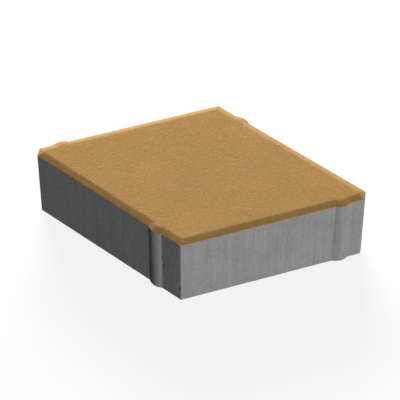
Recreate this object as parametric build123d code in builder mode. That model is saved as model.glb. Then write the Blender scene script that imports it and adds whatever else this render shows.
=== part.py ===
from build123d import *
from math import cos, radians, sin, tan
import os

# Rhombus paving stone of pressed concrete, one piece, lying on its bed face.
# X runs along the long diagonal, Y along the short one, Z up from the bed face.

side_length = 150.0  # between the sharp corners of the rhombus
acute_angle = 60.0
thickness = 60.0
tip_width = 8.0  # flat that blunts each acute corner
chamfer_width = 5.0  # top edge, measured across the top
chamfer_depth = 2.0  # top edge, measured down the side
nib_reach = 2.0  # spacer nib, out from its side
nib_width = 12.5  # spacer nib, along its side
nib_setback = 24.5  # centre of a nib to the sharp corner it stands next to

half_angle = acute_angle / 2
half_long = side_length * cos(radians(half_angle))
half_short = side_length * sin(radians(half_angle))
tip_x = half_long - tip_width / 2 / tan(radians(half_angle))

# A nib is the part of a circle that stands out of the side.
nib_radius = ((nib_width / 2) ** 2 + nib_reach**2) / (2 * nib_reach)
nib_inset = nib_radius - nib_reach

# Each side carries one nib, next to the corner where it ends going anticlockwise.
# These look back along two of the sides from there, and half a turn gives the other two.
from_acute_corner = Location((half_long, 0), half_angle + 180)
from_obtuse_corner = Location((0, half_short), -half_angle)

os.makedirs("parts", exist_ok=True)

with BuildPart() as paving_stone:
    with BuildSketch():
        with BuildLine():
            Polyline(
                (0, -half_short),
                (tip_x, -tip_width / 2),
                (tip_x, tip_width / 2),
                (0, half_short),
                (-tip_x, tip_width / 2),
                (-tip_x, -tip_width / 2),
                close=True,
            )
        make_face()
        with PolarLocations(0, 2):
            with Locations(from_acute_corner, from_obtuse_corner):
                with Locations((nib_setback, -nib_inset)):
                    Circle(nib_radius)
    extrude(amount=thickness)

    # The top edge is chamfered all round, over the nibs too.
    top_face = paving_stone.faces().sort_by(Axis.Z)[-1]
    chamfer(top_face.edges(), length=chamfer_width, length2=chamfer_depth, reference=top_face)

paving_stone.part.label = "paving_stone"
export_step(paving_stone.part, "parts/paving_stone.step")
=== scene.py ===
import math

import bmesh
import bpy
from mathutils import Matrix, Vector, noise


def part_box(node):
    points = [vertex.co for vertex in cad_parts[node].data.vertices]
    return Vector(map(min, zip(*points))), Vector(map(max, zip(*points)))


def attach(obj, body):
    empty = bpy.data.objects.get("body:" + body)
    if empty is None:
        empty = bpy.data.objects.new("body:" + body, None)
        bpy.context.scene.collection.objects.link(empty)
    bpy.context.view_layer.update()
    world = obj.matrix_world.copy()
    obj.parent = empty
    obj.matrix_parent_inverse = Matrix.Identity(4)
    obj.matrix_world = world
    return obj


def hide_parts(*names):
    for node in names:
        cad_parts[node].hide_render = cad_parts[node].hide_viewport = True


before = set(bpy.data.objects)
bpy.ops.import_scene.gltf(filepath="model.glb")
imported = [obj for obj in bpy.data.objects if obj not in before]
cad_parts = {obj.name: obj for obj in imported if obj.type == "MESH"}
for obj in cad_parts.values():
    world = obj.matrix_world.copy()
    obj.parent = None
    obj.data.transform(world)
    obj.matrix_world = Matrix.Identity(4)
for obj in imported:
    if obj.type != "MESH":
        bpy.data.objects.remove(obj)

scene = bpy.context.scene
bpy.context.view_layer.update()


# small helpers

def pick(obj):
    bpy.ops.object.select_all(action="DESELECT")
    obj.select_set(True)
    bpy.context.view_layer.objects.active = obj


def runModifier(obj, kind, **settings):
    pick(obj)
    bpy.ops.object.modifier_add(type=kind)
    modifier = obj.modifiers[-1]
    for name, value in settings.items():
        setattr(modifier, name, value)
    bpy.ops.object.modifier_apply(modifier=modifier.name)


def selectTop(obj):
    # picks the highest face in edit mode
    bpy.ops.mesh.select_mode(type="FACE")
    bpy.ops.mesh.select_all(action="DESELECT")
    bpy.ops.object.mode_set(mode="OBJECT")
    top = max(obj.data.polygons, key=lambda face: face.center.z)
    top.select = True
    bpy.ops.object.mode_set(mode="EDIT")


# the stone's form, in metres

stone = {
    "name": "rhombusPaver",
    "node": "paving_stone",
    "acuteAngle": math.radians(60),
    "chamferWidth": 0.005,
    "chamferDepth": 0.002,
    "nibReach": 0.002,
    "nibWidth": 0.0125,
    "nibSetback": 0.0245,  # from the sharp corner that the nib stands next to
    "nibSegments": 96,
    "octreeDepth": 8,  # 256 cells along the stone, about 1 mm each
    "octreeFill": 0.99,
    "creaseAngle": math.radians(15),
}

lowCorner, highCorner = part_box(stone["node"])
thickness = highCorner.z - lowCorner.z
tipX = highCorner.x
halfShort = highCorner.y
halfAngle = stone["acuteAngle"] / 2
halfLong = halfShort / math.tan(halfAngle)
wallHeight = thickness - stone["chamferDepth"]


def chamferTop(obj):
    selectTop(obj)
    bpy.ops.mesh.inset(thickness=stone["chamferWidth"], depth=stone["chamferDepth"])


def makeSlab():
    bpy.ops.object.select_all(action="DESELECT")
    bpy.ops.mesh.primitive_circle_add(vertices=4, radius=1, fill_type="NGON")
    slab = bpy.context.active_object
    slab.name = stone["name"]
    bpy.ops.object.mode_set(mode="EDIT")
    bpy.ops.mesh.select_all(action="SELECT")
    bpy.ops.transform.resize(value=(halfLong, halfShort, 1))
    for way in (1, -1):  # blunt the two acute corners
        bpy.ops.mesh.select_all(action="SELECT")
        bpy.ops.mesh.bisect(plane_co=(way * tipX, 0, 0), plane_no=(way, 0, 0), clear_outer=True)
    bpy.ops.mesh.select_all(action="SELECT")
    bpy.ops.mesh.extrude_region_move(TRANSFORM_OT_translate={"value": (0, 0, wallHeight)})
    bpy.ops.mesh.select_all(action="SELECT")
    bpy.ops.mesh.normals_make_consistent(inside=False)
    chamferTop(slab)
    bpy.ops.object.mode_set(mode="OBJECT")
    return slab


def nibPlaces():
    # one nib a side, next to the corner where the side ends going anticlockwise
    radius = ((stone["nibWidth"] / 2) ** 2 + stone["nibReach"] ** 2) / (2 * stone["nibReach"])
    inset = Vector((stone["nibSetback"], stone["nibReach"] - radius, 0))
    acuteCorner = Vector((halfLong, 0, 0))
    obtuseCorner = Vector((0, halfShort, 0))
    places = []
    for corner, heading in ((acuteCorner, halfAngle + math.pi), (obtuseCorner, -halfAngle)):
        place = corner + Matrix.Rotation(heading, 3, "Z") @ inset
        places += [place, -place]  # half a turn gives the opposite side
    return radius, places


def makeNibs():
    radius, places = nibPlaces()
    nibs = []
    for place in places:
        bpy.ops.object.select_all(action="DESELECT")
        bpy.ops.mesh.primitive_cylinder_add(
            vertices=stone["nibSegments"],
            radius=radius,
            depth=wallHeight,
            location=(place.x, place.y, wallHeight / 2),
        )
        nib = bpy.context.active_object
        bpy.ops.object.mode_set(mode="EDIT")
        chamferTop(nib)
        bpy.ops.object.mode_set(mode="OBJECT")
        nibs.append(nib)
    return nibs


def copyArrises(obj):
    # a copy with only the edges that stand out, for the wear to follow
    pick(obj)
    bpy.ops.object.duplicate()
    guide = bpy.context.active_object
    guide.name = "arrisGuide"
    bpy.ops.object.mode_set(mode="EDIT")
    bpy.ops.mesh.select_mode(type="EDGE")
    bpy.ops.mesh.select_all(action="DESELECT")
    mesh = bmesh.from_edit_mesh(guide.data)
    for edge in mesh.edges:
        edge.select_set(not edge.is_convex or edge.calc_face_angle(0) < stone["creaseAngle"])
    bmesh.update_edit_mesh(guide.data)
    bpy.ops.mesh.delete(type="EDGE")
    bpy.ops.object.mode_set(mode="OBJECT")
    return guide


slab = makeSlab()
for nib in makeNibs():
    runModifier(slab, "BOOLEAN", operation="UNION", solver="EXACT", object=nib)
    bpy.data.objects.remove(nib)
arrisGuide = copyArrises(slab)
print("stone: outline, chamfer and nibs, with", len(arrisGuide.data.edges), "arrises")

# even little faces that keep the sharp edges, for the relief to move
runModifier(
    slab,
    "REMESH",
    mode="SHARP",
    octree_depth=stone["octreeDepth"],
    scale=stone["octreeFill"],
    use_remove_disconnected=True,
)
bpy.ops.object.shade_smooth_by_angle(angle=stone["creaseAngle"])
print("stone: remeshed to", len(slab.data.polygons), "faces")


# worn edges, grain and pores of the pressed concrete, all cut inwards from the mould's form

relief = {
    "arrisReach": 0.0010,
    "arrisWear": 0.00020,
    "arrisGrain": 0.0035,
    "arrisOctaves": 2,
    "grain": 0.00007,
    "grainSize": 0.0021,
    "grainOctaves": 1,
    "poreDepth": 0.0006,
    "poreSpacings": (0.019, 0.0105),
    "poreShare": 0.09,  # radius of a pore against its spacing
    "poreFloor": 0.4,  # flat middle of a pore against its radius
    "porePatch": 0.016,  # pores come in patches about this wide
    "patchGain": 3,  # how soon a patch reaches the full depth
    "poreTop": 0.054,  # the fine facing above this has none
}


def addTexture(name, kind, **settings):
    texture = bpy.data.textures.new(name, kind)
    for key, value in settings.items():
        setattr(texture, key, value)
    return texture


def cutInwards(obj, texture, depth, group=""):
    # white stays on the surface, black goes in by the full depth
    runModifier(
        obj,
        "DISPLACE",
        texture=texture,
        texture_coords="LOCAL",
        strength=depth,
        mid_level=1,
        vertex_group=group,
    )


def wearEdges(obj):
    obj.vertex_groups.new(name="arris").add(range(len(obj.data.vertices)), 1, "REPLACE")
    runModifier(
        obj,
        "VERTEX_WEIGHT_PROXIMITY",
        vertex_group="arris",
        target=arrisGuide,
        proximity_mode="GEOMETRY",
        proximity_geometry={"EDGE"},
        min_dist=relief["arrisReach"],
        max_dist=0,
        falloff_type="SMOOTH",
    )
    crumbs = addTexture(
        "arrisCrumbs", "CLOUDS", noise_scale=relief["arrisGrain"], noise_depth=relief["arrisOctaves"]
    )
    cutInwards(obj, crumbs, relief["arrisWear"], "arris")


def roughenFaces(obj):
    grain = addTexture(
        "pressedGrain", "CLOUDS", noise_scale=relief["grainSize"], noise_depth=relief["grainOctaves"]
    )
    cutInwards(obj, grain, relief["grain"])


def openPores(obj):
    pored = obj.vertex_groups.new(name="pored")
    for v in obj.data.vertices:
        patch = noise.noise(v.co / relief["porePatch"])  # about -1 to 1
        if v.co.z < relief["poreTop"] and patch > 0:
            pored.add([v.index], min(1, relief["patchGain"] * patch), "REPLACE")
    for spacing in relief["poreSpacings"]:
        pores = addTexture("pores", "VORONOI", noise_scale=spacing, use_color_ramp=True)
        shades = pores.color_ramp.elements
        shades[0].position = relief["poreFloor"] * relief["poreShare"]
        shades[0].color = (0, 0, 0, 1)
        shades[1].position = relief["poreShare"]
        shades[1].color = (1, 1, 1, 1)
        cutInwards(obj, pores, relief["poreDepth"], "pored")


def keepValues(obj, name, values):
    # a value for each vertex that the material can read
    kept = obj.data.attributes.new(name, "FLOAT", "POINT")
    kept.data.foreach_set("value", values)


wearEdges(slab)
roughenFaces(slab)
smoothPlaces = [v.co.copy() for v in slab.data.vertices]
openPores(slab)
poreDepths = []
for v, before in zip(slab.data.vertices, smoothPlaces):
    poreDepths.append((v.co - before).length / relief["poreDepth"])
arrisWeights = [v.groups[0].weight if v.groups else 0 for v in slab.data.vertices]
keepValues(slab, "poreDepth", poreDepths)
keepValues(slab, "arrisWear", arrisWeights)
slab.vertex_groups.clear()
bpy.data.objects.remove(arrisGuide)
print("stone: worn edges, grain and pores")


# one pressed concrete: an ochre facing that fades into plain grey below the chamfer
# a range is where a pattern starts to show and where it shows in full

concrete = {
    "name": "facedConcrete",
    "specular": 0.22,
    "facingDrop": 0.0005,  # how far the ochre comes down below the chamfer
    "facingBlur": 0.0005,
    "facingWander": 0.0016,
    "wanderNoise": {"scale": 160, "detail": 4, "roughness": 0.6},
    "wanderMiddle": 0.5,
    "ochre": {
        "dark": (0.414, 0.229, 0.066, 1),
        "light": (0.450, 0.252, 0.076, 1),
        "grainDark": (0.314, 0.170, 0.051, 1),
        "grainLight": (0.541, 0.336, 0.126, 1),
        "grainScale": 780,
        "clouds": {"scale": 24, "detail": 5, "roughness": 0.6},
    },
    "grey": {
        "dark": (0.268, 0.270, 0.274, 1),
        "light": (0.301, 0.303, 0.306, 1),
        "grainDark": (0.205, 0.206, 0.209, 1),
        "grainLight": (0.361, 0.361, 0.356, 1),
        "grainScale": 620,
        "clouds": {"scale": 34, "detail": 5, "roughness": 0.6},
    },
    "cloudRange": (0.3, 0.7),
    "darkGrainRange": (0.86, 0.93),
    "darkGrainShare": 0.34,
    "lightGrainRange": (0.84, 0.92),
    "lightGrainShare": 0.27,
    "streakStretch": (420, 420, 16),
    "streakNoise": {"scale": 1, "detail": 3, "roughness": 0.6},
    "streakRange": (0.3, 0.75),
    "streakShades": (0.90, 1.04),
    "worn": (0.50, 0.43, 0.32, 1),
    "wornShare": 0.22,
    "wornNoise": {"scale": 260, "detail": 3},
    "wornRange": (0.42, 0.62),
    # painted shade: the pores are darkened by their depth, standing in for the shade inside them
    "poreShade": (0.10, 0.10, 0.10, 1),
    "poreShadeShare": 0.7,
    "roughNoise": {"scale": 300, "detail": 3},
    "roughRange": (0.3, 0.7),
    "roughness": (0.86, 0.98),
    "fineNoise": {"scale": 1500, "detail": 3, "roughness": 0.65},
    "fineBump": {"Strength": 0.25, "Distance": 0.0004},
    "sandBump": {"Strength": 0.20, "Distance": 0.0006},
    "streakBump": {"Strength": 0.25, "Distance": 0.0005},
}


class Graph:
    # adds nodes to a material or the world and wires them
    def __init__(self, owner):
        owner.use_nodes = True
        self.nodes = owner.node_tree.nodes
        self.links = owner.node_tree.links

    def add(self, kind, settings=None, **inputs):
        node = self.nodes.new("ShaderNode" + kind)
        for name, value in (settings or {}).items():
            setattr(node, name, value)
        for name, value in inputs.items():
            self.put(node.inputs[name.replace("_", " ")], value)
        return node

    def put(self, socket, value):
        if isinstance(value, bpy.types.NodeSocket):
            self.links.new(value, socket)
        else:
            socket.default_value = value

    def calc(self, operation, a, b):
        node = self.add("Math", {"operation": operation})
        self.put(node.inputs[0], a)
        self.put(node.inputs[1], b)
        return node.outputs[0]

    def blend(self, share, a, b, kind="MIX"):
        node = self.add("Mix", {"data_type": "RGBA", "blend_type": kind})
        self.put(node.inputs["Factor"], share)
        self.put(node.inputs[6], a)  # colour A
        self.put(node.inputs[7], b)  # colour B
        return node.outputs[2]

    def blendShaders(self, share, a, b):
        node = self.add("MixShader", Fac=share)
        self.put(node.inputs[1], a)
        self.put(node.inputs[2], b)
        return node.outputs[0]

    def ramp(self, value, low, high, toLow=0, toHigh=1):
        node = self.add(
            "MapRange",
            {"interpolation_type": "SMOOTHSTEP"},
            Value=value,
            From_Min=low,
            From_Max=high,
            To_Min=toLow,
            To_Max=toHigh,
        )
        return node.outputs["Result"]

    def noise(self, place, scale, detail, roughness=0.5):
        node = self.add("TexNoise", Vector=place, Scale=scale, Detail=detail, Roughness=roughness)
        return node.outputs["Fac"]

    def attribute(self, name):
        return self.add("Attribute", {"attribute_name": name}).outputs["Fac"]

    def seenRays(self):
        # 1 where the camera looks, straight or mirrored, and 0 for light on its way
        path = self.add("LightPath").outputs
        mirrored = self.calc("MAXIMUM", path["Is Glossy Ray"], path["Is Transmission Ray"])
        return self.calc("MAXIMUM", path["Is Camera Ray"], mirrored)


def facingShare(graph, place):
    # 1 in the facing and 0 below it, with a slightly ragged limit
    height = graph.add("SeparateXYZ", Vector=place).outputs["Z"]
    wander = graph.calc("SUBTRACT", graph.noise(place, **concrete["wanderNoise"]), concrete["wanderMiddle"])
    ragged = graph.calc("ADD", graph.calc("MULTIPLY", wander, concrete["facingWander"]), height)
    bottom = wallHeight - concrete["facingDrop"]
    blur = concrete["facingBlur"]
    return graph.ramp(ragged, bottom - blur, bottom + blur)


def mixColour(graph, place, look):
    # cloudy base tone with sand grains of two kinds; returns the colour and the grains' height
    cloud = graph.ramp(graph.noise(place, **look["clouds"]), *concrete["cloudRange"])
    tone = graph.blend(cloud, look["dark"], look["light"])
    cells = graph.add("TexVoronoi", Vector=place, Scale=look["grainScale"])
    kind = graph.add("SeparateColor", Color=cells.outputs["Color"])
    darkGrain = graph.ramp(kind.outputs["Red"], *concrete["darkGrainRange"])
    lightGrain = graph.ramp(kind.outputs["Green"], *concrete["lightGrainRange"])
    darkShare = graph.calc("MULTIPLY", darkGrain, concrete["darkGrainShare"])
    lightShare = graph.calc("MULTIPLY", lightGrain, concrete["lightGrainShare"])
    tone = graph.blend(darkShare, tone, look["grainDark"])
    tone = graph.blend(lightShare, tone, look["grainLight"])
    return tone, cells.outputs["Distance"]


def wearAndPaintedPoreShade(graph, place, tone):
    # pale worn patches along the arrises, and painted shade that darkens the pores by their depth
    patches = graph.ramp(graph.noise(place, **concrete["wornNoise"]), *concrete["wornRange"])
    worn = graph.calc("MULTIPLY", graph.attribute("arrisWear"), patches)
    tone = graph.blend(graph.calc("MULTIPLY", worn, concrete["wornShare"]), tone, concrete["worn"])
    # painted shade in the pores: darker where a pore goes deeper
    pore = graph.calc("MULTIPLY", graph.attribute("poreDepth"), concrete["poreShadeShare"])
    return graph.blend(pore, tone, concrete["poreShade"])


def makeConcrete():
    material = bpy.data.materials.new(concrete["name"])
    graph = Graph(material)
    shader = graph.nodes["Principled BSDF"]
    shader.inputs["Specular IOR Level"].default_value = concrete["specular"]
    place = graph.add("TexCoord").outputs["Object"]

    facing = facingShare(graph, place)
    ochre, ochreGrain = mixColour(graph, place, concrete["ochre"])
    grey, greyGrain = mixColour(graph, place, concrete["grey"])

    # faint upright streaks on the sides, drawn by the mould
    stretched = graph.add("Mapping", Vector=place, Scale=concrete["streakStretch"]).outputs["Vector"]
    streak = graph.noise(stretched, **concrete["streakNoise"])
    streakShade = graph.ramp(streak, *concrete["streakRange"], *concrete["streakShades"])
    grey = graph.blend(1, grey, streakShade, "MULTIPLY")

    tone = wearAndPaintedPoreShade(graph, place, graph.blend(facing, grey, ochre))
    graph.put(shader.inputs["Base Color"], tone)
    patches = graph.noise(place, **concrete["roughNoise"])
    roughness = graph.ramp(patches, *concrete["roughRange"], *concrete["roughness"])
    graph.put(shader.inputs["Roughness"], roughness)

    # sand grain under the fingertips, coarser on the sides
    fine = graph.noise(place, **concrete["fineNoise"])
    sand = graph.add("Mix", Factor=facing, A=greyGrain, B=ochreGrain).outputs[0]
    normal = graph.add("Bump", Height=fine, **concrete["fineBump"]).outputs[0]
    normal = graph.add("Bump", Height=sand, Normal=normal, **concrete["sandBump"]).outputs[0]
    normal = graph.add("Bump", Height=streak, Normal=normal, **concrete["streakBump"]).outputs[0]
    graph.put(shader.inputs["Normal"], normal)
    return material


slab.data.materials.clear()
slab.data.materials.append(makeConcrete())
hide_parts(stone["node"])
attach(slab, "root")
print("stone: material")


# white floor, whiter away from the stone so that it has no horizon

floorLook = {
    "size": 40,
    "white": (0.96, 0.96, 0.96, 1),
    "bounce": (0.04, 0.04, 0.04, 1),
    "glowNear": 0.87,
    "glowFrom": 0.14,
    "glowTo": 0.40,
}


def makeFloorMaterial():
    # white with the shadow where it is seen, dark where it would light the stone
    material = bpy.data.materials.new("whiteFloor")
    graph = Graph(material)
    graph.nodes.clear()
    place = graph.add("TexCoord").outputs["Object"]
    away = graph.add("VectorMath", {"operation": "LENGTH"}, Vector=place).outputs["Value"]
    glowShare = graph.ramp(away, floorLook["glowFrom"], floorLook["glowTo"], floorLook["glowNear"])
    shadowed = graph.add("BsdfDiffuse", Color=floorLook["white"]).outputs[0]
    glow = graph.add("Emission").outputs[0]
    shown = graph.blendShaders(glowShare, shadowed, glow)

    bounced = graph.add("BsdfDiffuse", Color=floorLook["bounce"]).outputs[0]
    graph.add("OutputMaterial", Surface=graph.blendShaders(graph.seenRays(), bounced, shown))
    return material


bpy.ops.object.select_all(action="DESELECT")
bpy.ops.mesh.primitive_plane_add(size=floorLook["size"], location=(0, 0, 0))
floor = bpy.context.active_object
floor.name = "floor"
floor.data.materials.append(makeFloorMaterial())


# soft light: a broad key from behind, a low fill from the front right, a little from all round

lamps = {
    "key": {
        "azimuth": 199,
        "elevation": 25,
        "distance": 9.0,
        "wide": 4.95,
        "tall": 3.0,
        "watts": 1845,
        "shadow": True,
    },
    "fill": {
        "azimuth": 45,
        "elevation": 2,
        "distance": 6.0,
        "wide": 3.3,
        "tall": 0.4,
        "watts": 312,
        "shadow": False,
    },
}


def towards(azimuth, elevation):
    # azimuth 0 is the front (-Y), 90 the right (+X)
    a = math.radians(azimuth)
    e = math.radians(elevation)
    return Vector((math.sin(a) * math.cos(e), -math.cos(a) * math.cos(e), math.sin(e)))


stoneMiddle = Vector((0, 0, thickness / 2))
for lampName, lamp in lamps.items():
    way = towards(lamp["azimuth"], lamp["elevation"])
    bpy.ops.object.light_add(type="AREA", location=stoneMiddle + way * lamp["distance"])
    light = bpy.context.active_object
    light.name = lampName
    light.rotation_euler = way.to_track_quat("Z", "Y").to_euler()
    light.data.shape = "RECTANGLE"
    light.data.size = lamp["wide"]
    light.data.size_y = lamp["tall"]
    light.data.energy = lamp["watts"]
    light.data.use_shadow = lamp["shadow"]
    light.visible_camera = False

skyLook = {
    "colour": (1, 1, 1, 1),
    "seen": 1.0,
    "ambient": 0.03,
}

world = bpy.data.worlds.new("studio")
scene.world = world
sky = Graph(world)
background = sky.nodes["Background"]
background.inputs["Color"].default_value = skyLook["colour"]
strength = sky.add("MapRange", Value=sky.seenRays(), To_Min=skyLook["ambient"], To_Max=skyLook["seen"])
sky.put(background.inputs["Strength"], strength.outputs["Result"])
print("stage: floor, lamps and sky")


# camera where the photograph was taken from, turned to the stone

shot = {
    "from": Vector((0.1887, -0.9994, 1.0635)),
    "aim": Vector((0.0, 0.0, 0.030)),
    "roll": math.radians(0.02),
    "lens": 174,
    "clipStart": 0.01,
}

toCamera = shot["from"] - shot["aim"]
turn = toCamera.to_track_quat("Z", "Y").to_matrix() @ Matrix.Rotation(shot["roll"], 3, "Z")
bpy.ops.object.camera_add(location=shot["from"], rotation=turn.to_euler())
camera = bpy.context.active_object
camera.data.lens = shot["lens"]
camera.data.clip_start = shot["clipStart"]
scene.camera = camera
scene.view_settings.view_transform = "Standard"
print("camera set")
